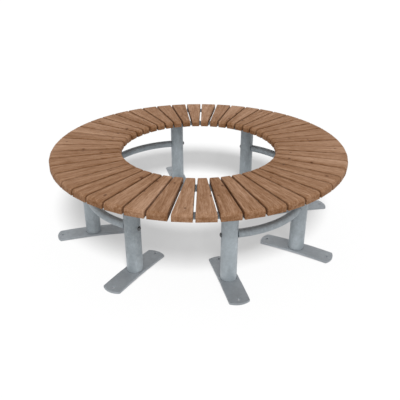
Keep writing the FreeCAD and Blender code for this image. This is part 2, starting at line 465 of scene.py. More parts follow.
def zinc_group() -> bpy.types.NodeTree:
    """The bloom of hot-dip zinc: crystals a centimetre across, clouds, fine mottling, and pale patches.

    Returns:
        The group. It puts out a tone from -1 to 1 or so, a mask of the pale patches, a sheen from 0 to 1,
        and a height.
    """
    shader, ins = new_group("zinc_bloom", Crystals=75.0, Clouds=11.0)
    place = ins["Vector"]
    stir = shader.node("TexNoise", Vector=place, Scale=60.0, Detail=2.0).outputs["Color"]
    stirred = shader.vector("MULTIPLY_ADD", stir, (0.012, 0.012, 0.012), place)
    cells = shader.node("TexVoronoi", {"feature": "F1"}, Vector=stirred, Scale=ins["Crystals"])
    crystal = shader.node("SeparateColor", Color=cells.outputs["Color"]).outputs[0]
    clouds = shader.remap(shader.noise(place, ins["Clouds"], 3.0, 0.55), 0.3, 0.7, -1.0, 1.0)
    fleck = shader.remap(shader.noise(place, 95.0), 0.35, 0.65, -1.0, 1.0)
    fine = shader.noise(place, 420.0, 2.0, 0.6)
    tone = shader.added(shader.math("MULTIPLY", clouds, 0.6), fleck, 0.22)
    tone = shader.added(tone, shader.added(-0.25, crystal, 0.5))
    tone = shader.added(tone, shader.added(-0.2, fine, 0.4))
    runs = shader.noise(shader.vector("MULTIPLY", stirred, (1.0, 1.0, 0.3)), 48.0, 3.0, 0.6)
    patches = shader.remap(runs, 0.5, 0.72)
    height = shader.added(shader.math("MULTIPLY", crystal, 0.6), fine, 0.4)
    return finish_group(shader, Tone=tone, Patches=patches, Sheen=crystal, Height=height)


def new_material(name: str) -> tuple[Material, Shader, bpy.types.Node]:
    """Starts a material.

    Args:
        name: its name.

    Returns:
        The material, the helper for its tree, and its Principled node.
    """
    material = bpy.data.materials.new(name)
    material.use_nodes = True
    return material, Shader(material.node_tree), material.node_tree.nodes["Principled BSDF"]


@dataclass(frozen=True)
class TimberFinish:
    """Oiled brown hardwood. The strengths say how much of the way from dark to light each effect goes."""

    dark: tuple[int, int, int] = (108, 66, 28)
    middle: tuple[int, int, int] = (153, 114, 84)
    light: tuple[int, int, int] = (192, 154, 126)
    knot: tuple[int, int, int] = (80, 44, 22)
    streaks: float = 0.85
    mottling: float = 1.2
    rings: float = 0.1
    fibres: float = 0.75
    roughness: float = 0.62

    def near_knot(self, shader: Shader, name: str) -> Socket:
        """1 in the heart of a knot, falling to 0 at its radius."""
        return shader.remap(shader.vector("LENGTH", shader.attribute(name, "Vector")), 0.05, 0.85, 1.0, 0.0)

    def material(self, group: bpy.types.NodeTree) -> Material:
        """Builds the finish.

        Args:
            group: the hardwood figure.

        Returns:
            The material.
        """
        material, shader, surface = new_material("oiled_hardwood")
        grain = shader.attribute("grain", "Vector")
        knot = shader.math("MAXIMUM", self.near_knot(shader, "knot_one"), self.near_knot(shader, "knot_two"))
        figure = shader.node("Group", {"node_tree": group}, Vector=grain, Knot=knot).outputs
        lightness = shader.math("ADD", shader.attribute("tone"), 0.5)
        for name in ("Streaks", "Mottling", "Rings", "Fibres"):
            strength = getattr(self, name.lower())
            lightness = shader.added(lightness, shader.added(-strength / 2, figure[name], strength))
        ramp = shader.node("ValToRGB", Fac=shader.math("MAXIMUM", lightness, 0.0, clamp=True))
        stops = ramp.color_ramp.elements
        stops[0].color = srgb(*self.dark)
        stops[1].color = srgb(*self.light)
        stops.new(0.5).color = srgb(*self.middle)
        dark = srgb(*self.knot)
        pored = shader.mix(shader.math("MULTIPLY", figure["Pores"], 0.3), ramp.outputs["Color"], dark)
        knotted = shader.mix(shader.math("MULTIPLY", knot, 0.95), pored, dark)
        rough = shader.remap(figure["Fibres"], 0.2, 0.8, self.roughness + 0.06, self.roughness - 0.06)
        shader.dress(surface, knotted, rough, Strength=0.35, Distance=0.0006, Height=figure["Height"])
        surface.inputs["Specular IOR Level"].default_value = 0.1
        return material


@dataclass(frozen=True)
class ZincFinish:
    """Dull hot-dip galvanised steel of one lightness, with pale patches where the zinc ran."""

    name: str
    base: tuple[int, int, int]
    contrast: float = 0.16
    patches: float = 0.15
    crystals: float = 75.0
    clouds: float = 11.0
    metallic: float = 0.25
    roughness: float = 0.5

    def material(self, group: bpy.types.NodeTree) -> Material:
        """Builds the finish.

        Args:
            group: the bloom of the zinc.

        Returns:
            The material.
        """
        material, shader, surface = new_material(self.name)
        place = shader.node("TexCoord").outputs["Object"]
        sizes = {"Crystals": self.crystals, "Clouds": self.clouds}
        bloom = shader.node("Group", {"node_tree": group}, Vector=place, **sizes).outputs
        tone = shader.math("MULTIPLY", bloom["Tone"], self.contrast)
        tone = shader.added(shader.added(tone, bloom["Patches"], self.patches), shader.attribute("tone"))
        colour = shader.scaled(srgb(*self.base)[:3], shader.math("ADD", tone, 1.0))
        rough = shader.remap(bloom["Sheen"], 0.0, 1.0, self.roughness + 0.07, self.roughness - 0.07)
        shader.dress(surface, colour, rough, Strength=0.25, Distance=0.0004, Height=bloom["Height"])
        surface.inputs["Metallic"].default_value = self.metallic
        return material


@dataclass(frozen=True)
class BoltFinish:
    """Dark, satin bolts, rubbed a little paler where the colour is thin."""

    base: tuple[int, int, int] = (92, 93, 95)
    rubbed: tuple[int, int, int] = (124, 125, 127)
    roughness: float = 0.2

    def material(self) -> Material:
        """Builds the finish.

        Returns:
            The material.
        """
        material, shader, surface = new_material("dark_bolt")
        place = shader.node("TexCoord").outputs["Object"]
        wear = shader.remap(shader.noise(place, 260.0, 3.0, 0.65), 0.52, 0.75)
        colour = shader.mix(shader.math("MULTIPLY", wear, 0.5), srgb(*self.base), srgb(*self.rubbed))
        rough = shader.remap(wear, 0.0, 1.0, self.roughness, self.roughness + 0.12)
        shader.dress(surface, colour, rough, Strength=0.2, Distance=0.0002, Height=shader.noise(place, 900.0))
        surface.inputs["Metallic"].default_value = 1.0
        return material


def all_finishes() -> dict[Slot, Material]:
    """Builds every material once.

    Returns:
        The materials, by slot.
    """
    zinc = zinc_group()
    foot_plate = ZincFinish(Slot.FOOT.value, (157, 163, 168), contrast=0.1, patches=0.05)
    return {
        Slot.TIMBER: TimberFinish().material(grain_group()),
        Slot.TUBE: ZincFinish(Slot.TUBE.value, (155, 163, 168)).material(zinc),
        Slot.FLAT_BAR: ZincFinish(Slot.FLAT_BAR.value, (140, 148, 153)).material(zinc),
        Slot.FOOT: foot_plate.material(zinc),
        Slot.BOLT: BoltFinish().material(),
    }


def placed(name: str, data: bpy.types.ID) -> bpy.types.Object:
    """Puts a mesh, a camera or a lamp in the scene.

    Args:
        name: the name of its object.
        data: what is put there.

    Returns:
        The object.
    """
    obj = bpy.data.objects.new(name, data)
    bpy.context.scene.collection.objects.link(obj)
    return obj


@dataclass
class Workshop:
    """Turns skins into finished pieces of the bench, one quarter after another."""

    finishes: dict[Slot, Material]
    quarter: int = 0
    made: int = 0

    @property
    def letter(self) -> str:
        """The letter of the quarter in hand."""
        return QUARTERS[self.quarter]

    def piece(self, name: str, skin: Skin, slot: Slot, node: str = "", angle: float = 0.0,
              **values: Array) -> None:
        """Makes one piece, hangs it on the bench's body and hides the part of the model that it stands for.

        Args:
            name: the piece's name.
            skin: its skin, as it stands in the first quarter before it is turned.
            slot: the record's slot, which also gives the finish.
            node: the node of the quarter that it stands for, if there is one.
            angle: how far it is turned about the tree hole within its quarter.
            values: point attributes, each of one or three numbers a point.
        """
        mesh = bpy.data.meshes.new(name)
        mesh.from_pydata(skin.turned(self.quarter * QUARTER_TURN + angle).points, [], skin.loops)
        mesh.shade_smooth()
        mesh.set_sharp_from_angle(angle=CREASE)
        for key, data in values.items():
            vector = data.ndim == 2
            attribute = mesh.attributes.new(key, "FLOAT_VECTOR" if vector else "FLOAT", "POINT")
            attribute.data.foreach_set("vector" if vector else "value", data.astype(np.float32).ravel())
        mesh.materials.append(self.finishes[slot])
        obj = placed(name, mesh)
        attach(obj, BODY)
        if node:
            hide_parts(f"quarter_{self.letter}_{node}")
        self.made += 1
        LOG.info("%s: %d points, %d faces", name, len(skin.points), len(skin.loops))


@dataclass(frozen=True)
class Knot:
    """A knot in a board: its distance from the centre of the bench, its place across, and its radius.

    The place across runs from -1 at the right edge of the board to 1 at the left edge.
    """

    distance: float
    across: float
    radius: float


NO_KNOT = Knot(-9.0, 0.0, 0.010)


@dataclass(frozen=True)
class Board:
    """How one board differs from plain wood: paler above 0, darker below.

    Its tone drifts from the inner end by way of the middle to the outer end, and from right to left. Part of
    the drift along the board is painted shade and light: most boards are painted darker at the inner end, by
    the tree hole, and paler at the outer end.
    """

    inner: float
    middle: float
    outer: float
    leftward: float = 0.0
    knots: tuple[Knot, ...] = ()


# The tones along each board partly paint shade and light: most run darker at the inner end and paler at the
# outer end.
BOARDS = (
    Board(0.00, 0.07, 0.21, 0.03, (Knot(0.700, 0.20, 0.009),)),
    Board(-0.03, 0.06, 0.16, 0.02, (Knot(0.590, 0.80, 0.010),)),
    Board(-0.14, -0.06, 0.00, 0.05, (Knot(0.590, -0.60, 0.009), Knot(0.500, 0.65, 0.011))),
    Board(-0.03, 0.04, -0.03),
    Board(-0.01, -0.01, -0.01, 0.02),
    Board(-0.06, -0.01, 0.04, 0.04),
    Board(-0.08, -0.03, 0.03, -0.04, (Knot(0.520, -0.40, 0.008),)),
    Board(-0.06, -0.03, 0.01, 0.04),
    Board(-0.06, 0.01, -0.04, -0.08, (Knot(0.700, 0.35, 0.012), Knot(0.480, 0.80, 0.013))),
    Board(-0.06, 0.05, 0.06, -0.07),
    Board(0.00, 0.17, 0.21, 0.12, (Knot(0.480, -0.70, 0.011), Knot(0.590, -0.90, 0.010))),
    Board(-0.05, 0.05, 0.01, -0.05, (Knot(0.475, -0.10, 0.009),)),
)


@dataclass
class Slats:
    """The tapered boards of one quarter, which come in the same order in every quarter."""

    end_round: float = 0.015
    arris: float = 0.004
    end_arris: float = 0.0022
    under_arris: float = 0.007
    rebate_arris: float = 0.0006
    rebate_clearance: float = 0.001
    heel_round: float = 0.0018
    second_gap: float = 0.012
    rings_between: int = 5
    top_stations: int = 12
    nose_steps: int = 10
    heel_steps: int = 3
    arris_steps: int = 4
    square: float = 0.1
    flat_margin: float = 0.0015
    cap_inset: float = 0.0012
    end_grain_turn: float = math.radians(20.0)
    end_grain_tone: float = -0.14
    knot_shape: tuple[float, float, float] = (1.4, 1.0, 3.0)
    random: np.random.Generator = field(default_factory=lambda: np.random.default_rng(SEED))

    def half_width(self, radius: Array, gap: float) -> Array:
        """How far the side is from the middle at these radii, beside a gap of this width."""
        half_pitch = SIZES.slat_pitch / 2
        return radius * math.tan(half_pitch) - gap / 2 / math.cos(half_pitch)

    def side_outline(self) -> Array:
        """The board seen from its side, from the inner end of the underside round to the inner end again.

        The underside has two straight cuts for the ring arcs, and the four corners are quarter circles. The
        rows hold the distance from the centre, the height, the arris there, and how much the end grain
        shows: 1 on the two ends, falling to 0 over the lower part of the rounding.

        Returns:
            Points x 4.
        """
        inner, outer = SIZES.inner_radius, SIZES.outer_radius
        low, high, big, small = SIZES.slat_bottom, SIZES.seat_height, self.end_round, self.heel_round
        ceiling = low + SIZES.ring_thickness
        under = [[inner + small, low]]
        for near, far in (SIZES.inner_ring, SIZES.outer_ring):
            start = near * math.cos(SIZES.slat_pitch / 2) - self.rebate_clearance
            end = far + self.rebate_clearance
            under += [[start, low], [start, ceiling], [end, ceiling], [end, low]]
        under = np.array(under + [[outer - small, low]])
        turn, bend = quarter_round(self.nose_steps), quarter_round(self.heel_steps)
        heel = (circle(bend - math.pi / 2, small) + (outer - small, low + small))[1:]
        nose = circle(turn, big) + (outer - big, high - big)
        back = np.linspace(outer - big, inner + big, self.top_stations + 2)[1:-1]
        top = np.column_stack([back, np.full_like(back, high)])
        tail = circle(turn + math.pi / 2, big) + (inner + big, high - big)
        toe = (circle(bend + math.pi, small) + (inner + small, low + small))[:-1]
        under_arris = np.where(under[:, 1] > low, self.rebate_arris, self.under_arris)
        under_arris[[0, 1, -2, -1]] = self.end_arris
        ends, flat = np.ones(len(heel)), np.ones(len(top))
        nose_arris = self.end_arris + (self.arris - self.end_arris) * np.sin(turn)
        end_arris, top_arris = self.end_arris * ends, self.arris * flat
        arris = np.concatenate([under_arris, end_arris, nose_arris, top_arris, nose_arris[::-1], end_arris])
        fading = np.clip(1 - turn / self.end_grain_turn, 0.0, 1.0)
        end_grain = np.concatenate([0 * under_arris, ends, fading, 0 * flat, fading[::-1], ends])
        return np.column_stack([np.vstack([under, heel, nose, top, tail, toe]), arris, end_grain])

    def inward(self, shape: Array) -> Array:
        """The way in from each corner of the side outline, for a move of one on both faces beside it.

        It is the sum of the two faces' inward directions over 1 + their dot product. The mouths of the
        rebates only move up, so the rebates stay equally wide.

        Args:
            shape: the outline, points x 2.

        Returns:
            Vectors, points x 2.
        """
        following = np.roll(shape, -1, axis=0) - shape
        following /= np.linalg.norm(following, axis=1)[:, None]
        inward_next = np.column_stack([-following[:, 1], following[:, 0]])
        inward_last = np.roll(inward_next, 1, axis=0)
        dot = np.sum(inward_next * inward_last, axis=1)
        inward = (inward_next + inward_last) / (1 + dot)[:, None]
        inward[(np.abs(dot) < self.square) & (shape[:, 1] == SIZES.slat_bottom)] = (0.0, 1.0)
        return inward

    def board(self, right_gap: float, left_gap: float) -> tuple[Skin, Array]:
        """One board on the X axis.

        Rings of the side outline stand across the board. Towards a flank the outline draws in by arris x
        (1 - sine) while the ring moves out by arris x (1 - cosine), which rounds the long edges and the
        corners of the ends alike. One more ring on either side of the rounding keeps the flats flat.

        Args:
            right_gap, left_gap: width of the gap on either side of the board.

        Returns:
            Its skin, and how much the end grain shows at its points.
        """
        outline = self.side_outline()
        shape, arris, end_grain = outline[:, :2], outline[:, 2:3], outline[:, 3]
        inward = self.inward(shape)
        steps = [(0.0, 0.0, 1.0, self.cap_inset)]
        steps += [(1 - math.cos(a), 0.0, 1 - math.sin(a), 0.0) for a in quarter_round(self.arris_steps)]
        steps += [(1.0, self.flat_margin, 0.0, 0.0)]
        rings = []
        for flank, gap in ((-1, right_gap), (1, left_gap)):
            for share, margin, inset, cap in steps[::-flank]:
                pulled = shape + inward * (arris * inset + cap)
                half = self.half_width(pulled[:, :1], gap) - arris * share - margin
                rings.append(np.column_stack([pulled[:, :1], flank * half, pulled[:, 1:]]))
        right, left = rings[len(steps) - 1], rings[len(steps)]
        shares = np.linspace(0.0, 1.0, self.rings_between + 2)[1:-1, None, None]
        rings[len(steps) : len(steps)] = list(right + (left - right) * shares)
        return Skin.over_rings(np.stack(rings)), np.tile(end_grain, len(rings))

    def looks(self, board: Board, points: Array, end_grain: Array) -> dict[str, Array]:
        """What the finish has to know about one board.

        The tone runs straight between the board's three values along it, which partly paint shade and light,
        plus its drift times the place across. A knot is given as the way from its centre over its radius.

        Args:
            board: which board it is.
            points: its points, while it lies on the X axis.
            end_grain: how much the end grain shows at them.

        Returns:
            The point attributes.
        """
        inner, outer = SIZES.inner_radius, SIZES.outer_radius
        along = points[:, 0]
        across = points[:, 1] / self.half_width(along, SIZES.slat_gap)
        # Painted shade and light along the board: partly darker at the inner end, paler at the outer end.
        tone = np.interp(along, (inner, (inner + outer) / 2, outer), (board.inner, board.middle, board.outer))
        values = {"tone": tone + board.leftward * across + self.end_grain_tone * end_grain}
        for name, knot in zip(("knot_one", "knot_two"), (*board.knots, NO_KNOT, NO_KNOT)):
            place = knot.across * float(self.half_width(np.array(knot.distance), SIZES.slat_gap))
            centre = np.array([knot.distance, place, SIZES.seat_height])
            values[name] = (points - centre) / (knot.radius * np.array(self.knot_shape))
        return values

    def build(self, shop: Workshop) -> None:
        """Makes the boards of one quarter.

        Args:
            shop: where pieces are made.
        """
        gaps = [SIZES.joint_gap, SIZES.slat_gap, self.second_gap]
        gaps += [SIZES.slat_gap] * (SIZES.slats_per_quarter - 3) + [SIZES.joint_gap]
        ends = ("slats_right_end", "slats_between_legs", "slats_left_end")
        for index, look in enumerate(BOARDS):
            skin, end_grain = self.board(gaps[index], gaps[index + 1])
            before_left_leg = index < SIZES.slats_per_quarter - SIZES.slats_beyond_leg
            node = ends[0] if index < SIZES.slats_beyond_leg else ends[1 if before_left_leg else 2]
            offset = self.random.uniform(1.0, 9.0)
            flip = np.where(self.random.uniform(size=3) < 0.5, -1.0, 1.0)
            values = self.looks(look, skin.points, end_grain)
            values["grain"] = skin.points * flip + np.array([offset, 0.0, 0.0]) + self.pith()
            angle = (index + 0.5) * SIZES.slat_pitch
            shop.piece(f"slat_{shop.letter}_{index + 1:02d}", skin, Slot.TIMBER, node, angle, **values)

    def pith(self) -> Array:
        """A random shift across and through the board, so that no two boards share their rings."""
        return np.array([0.0, self.random.uniform(-0.25, 0.25), self.random.uniform(-0.2, 0.2)])


@dataclass
class RingArcs:
    """The two flat ring arcs of one quarter, which the slats lie on."""

    edge: float = 0.001
    inner_setback: float = 0.0015
    outer_setback: float = 0.0072
    stations: int = 61

    def arc(self, inner: float, outer: float, setback: float) -> Skin:
        """One flat bar bent on edge, cut parallel to the joints at both ends.

        Every station is the bar's outline, put at (radius, angle). The angle at an end is the one whose sine
        is the setback over the radius, so the cut is straight.

        Args:
            inner, outer: its radii.
            setback: from the middle of the joint to its ends.

        Returns:
            Its skin.
        """
        low, high = SIZES.slat_bottom, SIZES.slat_bottom + SIZES.ring_thickness

        def outline(_along: float, share: float) -> Array:
            """The bar's outline, which only changes where its end turns over."""
            return bar_outline(inner, outer, low, high, self.edge, share)

        def place(along: float, shape: Array) -> Array:
            """Puts an outline at a share of the way from one end to the other.

            Args:
                along: the share.
                shape: the outline.

            Returns:
                Points x 3.
            """
            limit = np.arcsin(setback / shape[:, 0])
            angle = limit + along * (QUARTER_TURN - 2 * limit)
            return np.column_stack([circle(angle, shape[:, 0]), shape[:, 1]])

        rounding = self.edge / (inner * QUARTER_TURN)
        return swept((0.0, 1.0), np.linspace(0.0, 1.0, self.stations)[1:-1], rounding, 2, outline, place)

    def build(self, shop: Workshop) -> None:
        """Makes the two arcs of one quarter.

        Args:
            shop: where pieces are made.
        """
        for name, radii, setback in (
            ("inner_ring_arc", SIZES.inner_ring, self.inner_setback),
            ("outer_ring_arc", SIZES.outer_ring, self.outer_setback),
        ):
            shop.piece(f"{name}_{shop.letter}", self.arc(*radii, setback), Slot.FLAT_BAR, name)


@dataclass(frozen=True)
class LegLightAndShade:
    """Painted light and shade on one leg against plain zinc: down its tube, darker at the top where the seat
    shades it, and at the two ends of its foot plate, where the bench's shade lies on it more or less.
    """

    top: float
    middle: float
    foot: float
    inner_end: float = 0.0
    outer_end: float = 0.0


@dataclass
class Legs:
    """The two legs of one quarter: bearer, tube, foot plate and the welds that join them."""

    wall: float = 0.0032
    segments: int = 72
    tube_stations: int = 9
    bearer_width: float = 0.080
    bearer_corner: float = 0.015
    bearer_inset: float = 0.004
    foot_length: float = 0.375
    foot_width: float = 0.094
    foot_end_radius: float = 0.085
    foot_rise: float = 0.0073
    rise_fade: float = 0.050
    hole_offset: float = 0.160
    hole_radius: float = 0.007
    hole_chamfer: float = 0.0006
    edge: float = 0.0014
    margin: float = 0.001
    corner_softness: float = 60.0
    outer_rays: int = 97
    middle_rays: int = 15
    weld: float = 0.0022
    weld_width: float = 0.9
    weld_bulge: float = 1.3
    weld_root: tuple[float, float] = (-0.25, -0.05)
    weld_steps: int = 240
    ripples: tuple[tuple[float, int, float], ...] = ((0.07, 46, 0.0), (0.05, 5, 1.3))
    round_steps: int = 4
    weld_tone: float = -0.35
    # Painted light: the walls of the anchor holes are made paler against the shade inside them.
    hole_painted_light: float = 0.3
    # Painted light and shade of each leg: darker at the top where the seat shades the tube, paler where it is
    # lit, and at the ends of the foot plates.
    shading_heights: tuple[float, float, float] = (0.05, 0.22, SIZES.leg_top)
    painted_shading: tuple[LegLightAndShade, ...] = (
        LegLightAndShade(0.05, 0.10, 0.05),
        LegLightAndShade(-0.20, 0.02, 0.08),
        LegLightAndShade(-0.28, 0.24, 0.20),
        LegLightAndShade(0.0, 0.05, 0.05),
        LegLightAndShade(-0.15, 0.0, 0.0, -0.05),
        LegLightAndShade(-0.30, -0.12, 0.08, 0.03),
        LegLightAndShade(-0.12, 0.26, 0.10, 0.0, -0.07),
        LegLightAndShade(-0.10, 0.03, 0.15, 0.36, -0.04),
    )

    def tube(self) -> Skin:
        """The leg tube, standing at the origin.

        Its profile closes on itself: up the outside, over the rim, down the bore and round the foot.

        Returns:
            Its skin.
        """
        chamfer = self.wall / 6
        outer, bore = SIZES.leg_radius, SIZES.leg_radius - self.wall
        low, high = SIZES.foot_thickness, SIZES.leg_top
        heights = np.linspace(low + chamfer, high - chamfer, self.tube_stations)
        profile = [(outer, height) for height in heights]
        profile += [(outer - chamfer, high), (bore, high), (bore, low), (outer - chamfer, low)]
        return revolved(np.array(profile), np.zeros(3), UP, self.segments, True)

    def weld_bead(self, height: float, upward: int) -> Skin:
        """A fillet weld round the leg tube, standing at the origin.

        Its outline is a bulging quarter circle in the corner between tube and plate, whose size ripples
        along the seam as size x (1 + the sum of share x cosine of (times x the angle + start)).

        Args:
            height: height of the plate's face.
            upward: 1 if the bead stands on the plate, -1 if it hangs from it.

        Returns:
            Its skin.
        """
        turn = whole_round(self.weld_steps)
        size = np.ones(self.weld_steps)
        for share, times, start in self.ripples:
            size += share * np.cos(times * turn + start)
        size = self.weld * size[:, None]
        face = quarter_round(self.round_steps + 1)
        across = np.append(self.weld_root[0], np.cos(face) ** self.weld_bulge)
        rise = np.append(self.weld_root[1], np.sin(face) ** self.weld_bulge)
        radius = SIZES.leg_radius + size * across * self.weld_width
        level = height + upward * size * rise
        grid = np.stack([radius * np.cos(turn)[:, None], radius * np.sin(turn)[:, None], level], axis=-1)
        return Skin.over_rings(grid, True)

    def foot_plate(self) -> Skin:
        """The foot plate, centred on the origin with its length along X.

        Each half is a fan of rays from its anchor hole. A ray ends at the long side, the round end or the
        middle of the plate. Its length is the softened least of those distances, which rounds the corner
        between side and end.

        Returns:
            Its skin.
        """
        half_width, hole = self.foot_width / 2, self.hole_offset
        corner = math.atan2(half_width, -hole)
        outer_rays = np.linspace(-corner, corner, self.outer_rays)
        middle_rays = np.linspace(corner, 2 * math.pi - corner, self.middle_rays)[1:-1]
        rays = circle(outer_rays)
        with np.errstate(divide="ignore"):
            to_side = half_width / np.abs(rays[:, 1])
        arc_centre = self.foot_length / 2 - self.foot_end_radius - hole
        lean = rays[:, 0] * arc_centre
        to_end = lean + np.sqrt(lean**2 - arc_centre**2 + self.foot_end_radius**2)
        power = self.corner_softness
        reach = (to_side**-power + to_end**-power) ** (-1 / power)
        reach[[0, -1]] = math.hypot(half_width, hole)
        rim = np.array([hole, 0.0]) + rays * reach[:, None]
        along = np.gradient(rim, axis=0)
        normal = np.column_stack([along[:, 1], -along[:, 0]])
        normal /= np.linalg.norm(normal, axis=1)[:, None]
        normal[[0, -1]] = [[0.0, -1.0], [0.0, 1.0]]
        middle = np.column_stack([np.zeros(len(middle_rays)), -hole * np.tan(middle_rays)])
        all_rays = np.concatenate([outer_rays, middle_rays])
        normal = np.vstack([normal, np.zeros_like(middle)])
        sections = self.foot_sections(all_rays, np.vstack([rim, middle]), normal)
        return self.mirrored(Skin.over_rings(sections, True))

    def foot_sections(self, rays: Array, rim: Array, normal: Array) -> Array:
        """The sections of a foot plate along its rays: up the hole, over the top, round the edge and back.

        Args:
            rays: their angles about the anchor hole.
            rim: where each meets the edge of the plate.
            normal: the way out of the plate there, or zero on the middle line.

        Returns:
            Rays x points x 3.
        """
        thick, edge, chamfer = SIZES.foot_thickness, self.edge, self.hole_chamfer

        def round_hole(radius: float) -> Array:
            """Where the rays cross a circle about the hole."""
            return circle(rays, radius) + (self.hole_offset, 0.0)

        mouth, bore = round_hole(self.hole_radius + chamfer), round_hole(self.hole_radius)
        collar = round_hole(self.hole_radius + chamfer + self.margin)
        support = rim - normal * (edge + self.margin)
        flat = [collar, (collar + support) / 2, support]
        rows = [(mouth, 0.0), (bore, chamfer), (bore, thick - chamfer), (mouth, thick)]
        rows += [(place, thick) for place in flat]
        turn = 1 - circle(quarter_round(self.round_steps))
        rows += [(rim - normal * edge * s, thick - edge * c) for c, s in turn]
        rows += [(rim - normal * edge * c, edge * s) for c, s in turn]
        rows += [(place, 0.0) for place in flat[::-1]]
        return np.stack([np.insert(place, 2, height, axis=1) for place, height in rows], axis=1)

    def mirrored(self, half: Skin) -> Skin:
        """Joins half a plate to its mirror image and welds them along the middle line.

        Args:
            half: the half with positive X, whose cut lies at X = 0. All its faces have four corners.

        Returns:
            The whole.
        """
        digits = 7
        faces = np.array(half.loops)
        faces = faces[np.abs(half.points[faces, 0]).max(axis=1) > 10.0**-digits]
        faces = np.vstack([faces, faces[:, ::-1] + len(half.points)])
        both = np.vstack([half.points, half.points * np.array([-1.0, 1.0, 1.0])])
        points, number = np.unique(np.round(both[faces.ravel()], digits) + 0.0, axis=0, return_inverse=True)
        return Skin(points, number.reshape(-1, 4).tolist()).outward()

    def bearer(self) -> Skin:
        """The flat bar on a leg, along X at its true distance from the centre, with clipped corners.

        Every station is an outline across the bar whose width shrinks in step with the clipped corner.

        Returns:
            Its skin.
        """
        start = SIZES.inner_ring[0] + self.bearer_inset
        end = SIZES.outer_ring[1] - self.bearer_inset
        low, high = SIZES.leg_top, SIZES.slat_bottom

        def outline(along: float, share: float) -> Array:
            """The bar's outline at this distance from the centre."""
            half = self.bearer_width / 2 - max(0.0, self.bearer_corner - min(along - start, end - along))
            return bar_outline(-half, half, low, high, self.edge, share)

        def place(along: float, shape: Array) -> Array:
            """Stands an outline at this distance from the centre."""
            return np.insert(shape, 0, along, axis=1)

        between = np.array([start + self.bearer_corner, end - self.bearer_corner])
        return swept((start, end), between, self.edge, 2, outline, place)

    def stood(self, skin: Skin) -> Skin:
        """Moves what stands at the origin under the slats on the X axis, and arches the foot plate.

        The lift is foot_rise x (1 - (x / half the length of the plate's underside) squared) up to the top of
        the plate, and fades to nothing up the leg.

        Args:
            skin: the plate, the leg tube or a weld.

        Returns:
            The skin in its place.
        """
        along = np.clip(skin.points[:, 0] / (self.foot_length / 2 - self.edge), -1.0, 1.0)
        fade = np.clip(1 - (skin.points[:, 2] - SIZES.foot_thickness) / self.rise_fade, 0.0, 1.0)
        lift = self.foot_rise * (1 - along**2) * fade
        return Skin(skin.points + lift[:, None] * UP + np.array([SIZES.leg_circle, 0.0, 0.0]), skin.loops)

    def plate_painted_shading(self, plate: Skin, tone: LegLightAndShade) -> Array:
        """How pale a foot plate is painted at its points: painted light and shade towards its two ends, and
        painted light on the walls of the two anchor holes against their shade.

        Args:
            plate: its skin, lying at the origin.
            tone: the painted light and shade of its leg.

        Returns:
            A number for each point.
        """
        along, across = plate.points[:, 0], plate.points[:, 1]
        drift = np.interp(along, (-self.hole_offset, self.hole_offset), (tone.inner_end, tone.outer_end))
        reach = np.hypot(np.abs(along) - self.hole_offset, across)
        return np.where(reach < self.hole_radius + self.hole_chamfer / 2, self.hole_painted_light, drift)

    def build(self, shop: Workshop) -> None:
        """Makes the two legs of one quarter.

        Args:
            shop: where pieces are made.
        """
        for side, look in zip(Side, self.painted_shading[2 * shop.quarter :]):
            angle, tag = SIZES.leg_angle(side), f"{shop.letter}_{side.word}"
            tube, plate = self.tube(), self.foot_plate()
            # Painted shade and light down the tube: darker at the top, where the seat shades it.
            tone = np.interp(tube.points[:, 2], self.shading_heights, (look.foot, look.middle, look.top))
            parts = (
                ("leg_tube", self.stood(tube), Slot.TUBE, {"tone": tone}),
                ("foot_plate", self.stood(plate), Slot.FOOT, {"tone": self.plate_painted_shading(plate, look)}),
                ("bearer", self.bearer(), Slot.FLAT_BAR, {}),
            )
            for name, skin, slot, values in parts:
                shop.piece(f"{name}_{tag}", skin, slot, f"{side.word}_{name}", angle, **values)
            welds = {"foot_weld": (SIZES.foot_thickness, 1), "bearer_weld": (SIZES.leg_top, -1)}
            for name, place in welds.items():
                bead = self.stood(self.weld_bead(*place))
                tone = np.full(len(bead.points), self.weld_tone)
                shop.piece(f"{name}_{tag}", bead, Slot.TUBE, angle=angle, tone=tone)


